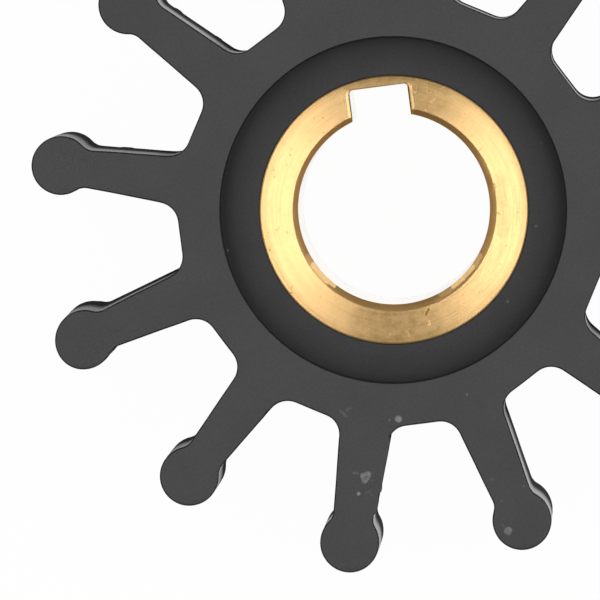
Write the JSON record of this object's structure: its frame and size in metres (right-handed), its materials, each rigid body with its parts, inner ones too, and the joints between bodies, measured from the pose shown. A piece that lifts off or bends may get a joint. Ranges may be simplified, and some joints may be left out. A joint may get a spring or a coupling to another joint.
{
  "type": "flexible pump impeller",
  "caption": "Flexible pump impeller: a rubber hub with radial bulb-tipped vanes, moulded round a brass insert with a keyed shaft bore.",
  "frame": {"origin": "on the shaft axis, in the lower rubber end face", "axes": "+Z along the shaft axis, +Y through the middle of the keyway; the vanes stand at 15 degrees from +X and every 30 degrees from there"},
  "size_m": [0.0924, 0.0924, 0.063],
  "materials": {
    "black_rubber": "even satin, moulded",
    "turned_brass": "faced on a lathe, fine concentric marks"
  },
  "bodies": {
    "root": {"rubber_body": "black_rubber", "brass_insert": "turned_brass"}
  },
  "joints": []
}
